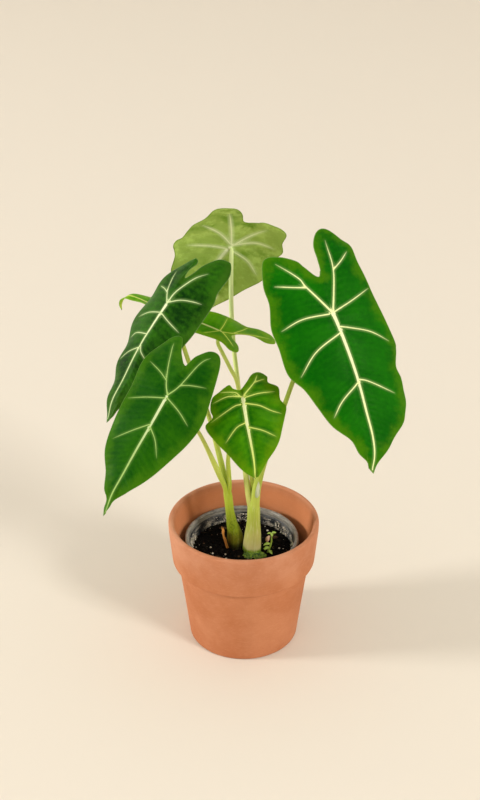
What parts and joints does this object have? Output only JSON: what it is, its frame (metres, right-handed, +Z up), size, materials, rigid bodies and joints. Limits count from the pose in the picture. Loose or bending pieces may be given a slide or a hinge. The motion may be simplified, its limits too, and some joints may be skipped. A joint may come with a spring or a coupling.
{
  "type": "potted alocasia",
  "caption": "Young alocasia plants with arrow-shaped, pale-veined leaves in a nursery pot that stands inside a straight-collared clay pot.",
  "frame": {"origin": "centre of the clay pot's flat underside", "axes": "+Z up along the clay pot's axis, -Y towards the side that the front leaves face, +X to that side's right"},
  "size_m": [0.2567, 0.2184, 0.4223],
  "materials": {
    "terracotta": "matt unglazed clay with a dusty bloom",
    "nursery_plastic": "thin moulded plastic, dusty inside",
    "soil": "dark moist peat with fibres",
    "stem": "smooth, pale, slightly waxy plant skin",
    "petiole": "smooth, waxy plant skin",
    "leaf": "velvety dark green with pale raised veins",
    "dry_sheath": "dry papery skin",
    "pale_sheath": "thin translucent skin",
    "seedling": "soft young leaf",
    "husk": "dry seed coat",
    "moss": "fine soft tufts",
    "perlite": "chalky, porous grains",
    "bark": "rough bark"
  },
  "bodies": {
    "root": {"bark_chip_1": "bark", "bark_chip_2": "bark", "bark_chip_3": "bark", "dry_sheath": "dry_sheath", "leaf_back": "leaf", "leaf_front_left": "leaf", "leaf_left": "leaf", "leaf_middle": "leaf", "leaf_right": "leaf", "leaf_young": "leaf", "moss_patch": "moss", "nursery_pot": "nursery_plastic", "pale_sheath": "pale_sheath", "perlite_1": "perlite", "perlite_2": "perlite", "perlite_3": "perlite", "perlite_4": "perlite", "perlite_5": "perlite", "perlite_6": "perlite", "petiole_back": "petiole", "petiole_front_left": "petiole", "petiole_left": "petiole", "petiole_middle": "petiole", "petiole_right": "petiole", "petiole_young": "petiole", "potting_soil": "soil", "seed_husk": "husk", "seedling": "seedling", "stem_left": "stem", "stem_right": "stem", "terracotta_pot": "terracotta"}
  },
  "joints": []
}
